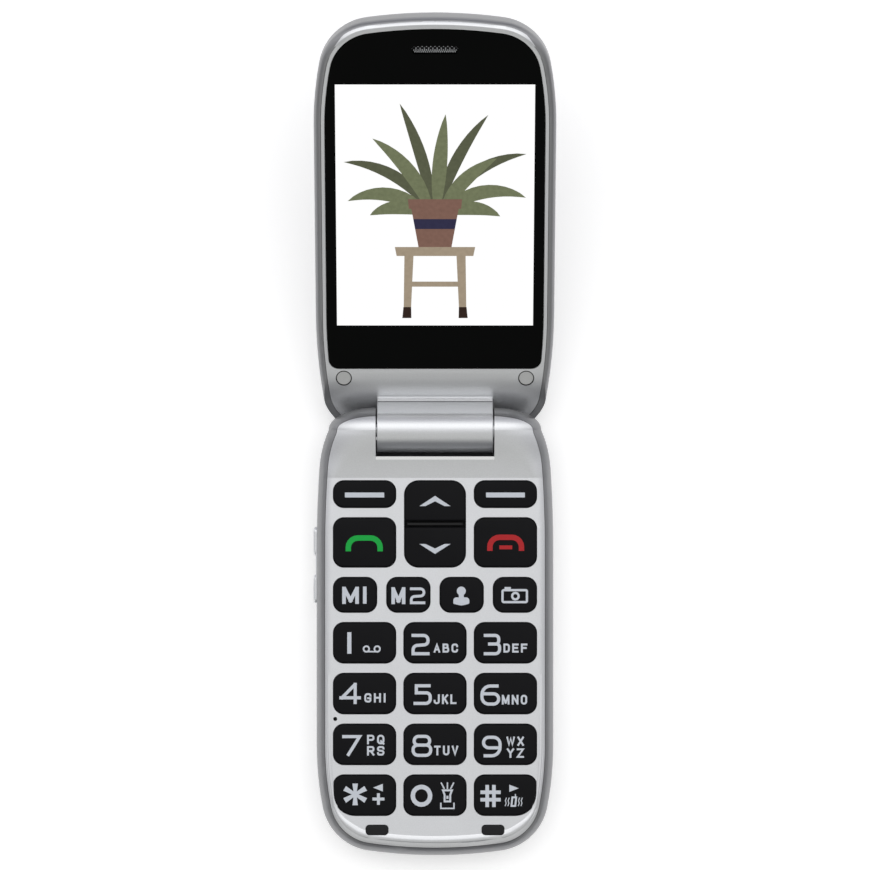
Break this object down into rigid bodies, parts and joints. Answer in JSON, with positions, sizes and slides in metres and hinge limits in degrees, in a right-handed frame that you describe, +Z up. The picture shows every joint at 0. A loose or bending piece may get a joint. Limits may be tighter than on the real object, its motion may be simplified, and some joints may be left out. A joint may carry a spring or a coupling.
{
  "type": "flip phone",
  "caption": "Open clamshell mobile phone: keypad base with knuckle hinge and tilted lid holding a glossy black display window.",
  "frame": {"origin": "centre of the base's flat back, on the surface that the phone lies on", "axes": "+Z up out of the key panel, +Y from the far end of the base towards the hinge, +X to the right as the keys are read; the lid stands open at its stop"},
  "size_m": [0.0533, 0.1845, 0.0421],
  "materials": {
    "silver_paint": "satin silver paint",
    "grey_plastic": "satin mid-grey paint on plastic",
    "key_black": "semi-gloss black",
    "window_black": "polished black acrylic",
    "display_module": "lit display behind the window",
    "clear_lens": "polished dark lens",
    "torch_diffuser": "frosted white",
    "black_rubber": "matt",
    "steel": "plain",
    "circuit_board": "green solder mask",
    "contact_metal": "gold flash",
    "battery_wrap": "dark wrap, no print",
    "black_plastic": "moulded",
    "flex_film": "amber polyimide"
  },
  "bodies": {
    "base": {"front_casing": "silver_paint", "rear_casing": "grey_plastic", "battery": "battery_wrap", "battery_contacts": "contact_metal", "main_board": "circuit_board", "shield_can": "steel", "loudspeaker": "black_plastic", "card_holder": "black_plastic", "antenna": "black_plastic", "charging_socket": "steel", "microphone": "black_plastic", "keypad_mat": "black_rubber", "dome_sheet": "contact_metal", "volume_switches": "black_plastic", "bumper_pads": "black_rubber", "casing_screws": "steel", "hinge_cam": "steel", "hinge_pin": "steel"},
    "lid": {"lid_front_bezel": "silver_paint", "lid_rear_cover": "grey_plastic", "display_window": "window_black", "earpiece_mesh": "steel", "display_panel": "display_module", "lid_board": "circuit_board", "earpiece": "black_plastic", "camera_module": "black_plastic", "camera_lens": "clear_lens", "torch_light": "torch_diffuser", "vibration_motor": "steel", "lid_magnet": "steel", "screw_covers": "silver_paint", "lid_screws": "steel", "hinge_barrel": "silver_paint", "hinge_cartridge": "steel", "hinge_flex": "flex_film"},
    "battery_cover": {"battery_cover": "grey_plastic"},
    "volume_rocker": {"volume_rocker": "silver_paint"},
    "soft_key_left": {"soft_key_left": "key_black"},
    "soft_key_right": {"soft_key_right": "key_black"},
    "nav_key_up": {"nav_key_up": "key_black"},
    "nav_key_down": {"nav_key_down": "key_black"},
    "call_key": {"call_key": "key_black"},
    "end_key": {"end_key": "key_black"},
    "memory_key_1": {"memory_key_1": "key_black"},
    "memory_key_2": {"memory_key_2": "key_black"},
    "contacts_key": {"contacts_key": "key_black"},
    "camera_key": {"camera_key": "key_black"},
    "key_1": {"key_1": "key_black"},
    "key_2": {"key_2": "key_black"},
    "key_3": {"key_3": "key_black"},
    "key_4": {"key_4": "key_black"},
    "key_5": {"key_5": "key_black"},
    "key_6": {"key_6": "key_black"},
    "key_7": {"key_7": "key_black"},
    "key_8": {"key_8": "key_black"},
    "key_9": {"key_9": "key_black"},
    "key_star": {"key_star": "key_black"},
    "key_0": {"key_0": "key_black"},
    "key_hash": {"key_hash": "key_black"}
  },
  "joints": [
    {"name": "lid_hinge", "type": "hinge", "parent": "base", "child": "lid", "pos_m": [0, 0.04475, 0.0083], "axis": [1, 0, 0], "range_deg": [0, 157]},
    {"name": "battery_cover_lift", "type": "slide", "parent": "base", "child": "battery_cover", "axis": [0, 0, -1], "range_m": [0, 0.02]},
    {"name": "volume_rocker_tilt", "type": "hinge", "parent": "base", "child": "volume_rocker", "pos_m": [-0.0239, 0.01475, 0.00575], "axis": [0, 0, 1], "range_deg": [-2, 2], "stiffness_Nm_per_rad": 0.5},
    {"name": "soft_key_left_press", "type": "slide", "parent": "base", "child": "soft_key_left", "axis": [0, 0, -1], "range_m": [0, 0.0004], "stiffness_N_per_m": 300, "springref_m": -0.003},
    {"name": "soft_key_right_press", "type": "slide", "parent": "base", "child": "soft_key_right", "axis": [0, 0, -1], "range_m": [0, 0.0004], "stiffness_N_per_m": 300, "springref_m": -0.003},
    {"name": "nav_key_up_press", "type": "slide", "parent": "base", "child": "nav_key_up", "axis": [0, 0, -1], "range_m": [0, 0.0004], "stiffness_N_per_m": 300, "springref_m": -0.003},
    {"name": "nav_key_down_press", "type": "slide", "parent": "base", "child": "nav_key_down", "axis": [0, 0, -1], "range_m": [0, 0.0004], "stiffness_N_per_m": 300, "springref_m": -0.003},
    {"name": "call_key_press", "type": "slide", "parent": "base", "child": "call_key", "axis": [0, 0, -1], "range_m": [0, 0.0004], "stiffness_N_per_m": 300, "springref_m": -0.003},
    {"name": "end_key_press", "type": "slide", "parent": "base", "child": "end_key", "axis": [0, 0, -1], "range_m": [0, 0.0004], "stiffness_N_per_m": 300, "springref_m": -0.003},
    {"name": "memory_key_1_press", "type": "slide", "parent": "base", "child": "memory_key_1", "axis": [0, 0, -1], "range_m": [0, 0.0004], "stiffness_N_per_m": 300, "springref_m": -0.003},
    {"name": "memory_key_2_press", "type": "slide", "parent": "base", "child": "memory_key_2", "axis": [0, 0, -1], "range_m": [0, 0.0004], "stiffness_N_per_m": 300, "springref_m": -0.003},
    {"name": "contacts_key_press", "type": "slide", "parent": "base", "child": "contacts_key", "axis": [0, 0, -1], "range_m": [0, 0.0004], "stiffness_N_per_m": 300, "springref_m": -0.003},
    {"name": "camera_key_press", "type": "slide", "parent": "base", "child": "camera_key", "axis": [0, 0, -1], "range_m": [0, 0.0004], "stiffness_N_per_m": 300, "springref_m": -0.003},
    {"name": "key_1_press", "type": "slide", "parent": "base", "child": "key_1", "axis": [0, 0, -1], "range_m": [0, 0.0004], "stiffness_N_per_m": 300, "springref_m": -0.003},
    {"name": "key_2_press", "type": "slide", "parent": "base", "child": "key_2", "axis": [0, 0, -1], "range_m": [0, 0.0004], "stiffness_N_per_m": 300, "springref_m": -0.003},
    {"name": "key_3_press", "type": "slide", "parent": "base", "child": "key_3", "axis": [0, 0, -1], "range_m": [0, 0.0004], "stiffness_N_per_m": 300, "springref_m": -0.003},
    {"name": "key_4_press", "type": "slide", "parent": "base", "child": "key_4", "axis": [0, 0, -1], "range_m": [0, 0.0004], "stiffness_N_per_m": 300, "springref_m": -0.003},
    {"name": "key_5_press", "type": "slide", "parent": "base", "child": "key_5", "axis": [0, 0, -1], "range_m": [0, 0.0004], "stiffness_N_per_m": 300, "springref_m": -0.003},
    {"name": "key_6_press", "type": "slide", "parent": "base", "child": "key_6", "axis": [0, 0, -1], "range_m": [0, 0.0004], "stiffness_N_per_m": 300, "springref_m": -0.003},
    {"name": "key_7_press", "type": "slide", "parent": "base", "child": "key_7", "axis": [0, 0, -1], "range_m": [0, 0.0004], "stiffness_N_per_m": 300, "springref_m": -0.003},
    {"name": "key_8_press", "type": "slide", "parent": "base", "child": "key_8", "axis": [0, 0, -1], "range_m": [0, 0.0004], "stiffness_N_per_m": 300, "springref_m": -0.003},
    {"name": "key_9_press", "type": "slide", "parent": "base", "child": "key_9", "axis": [0, 0, -1], "range_m": [0, 0.0004], "stiffness_N_per_m": 300, "springref_m": -0.003},
    {"name": "key_star_press", "type": "slide", "parent": "base", "child": "key_star", "axis": [0, 0, -1], "range_m": [0, 0.0004], "stiffness_N_per_m": 300, "springref_m": -0.003},
    {"name": "key_0_press", "type": "slide", "parent": "base", "child": "key_0", "axis": [0, 0, -1], "range_m": [0, 0.0004], "stiffness_N_per_m": 300, "springref_m": -0.003},
    {"name": "key_hash_press", "type": "slide", "parent": "base", "child": "key_hash", "axis": [0, 0, -1], "range_m": [0, 0.0004], "stiffness_N_per_m": 300, "springref_m": -0.003}
  ]
}
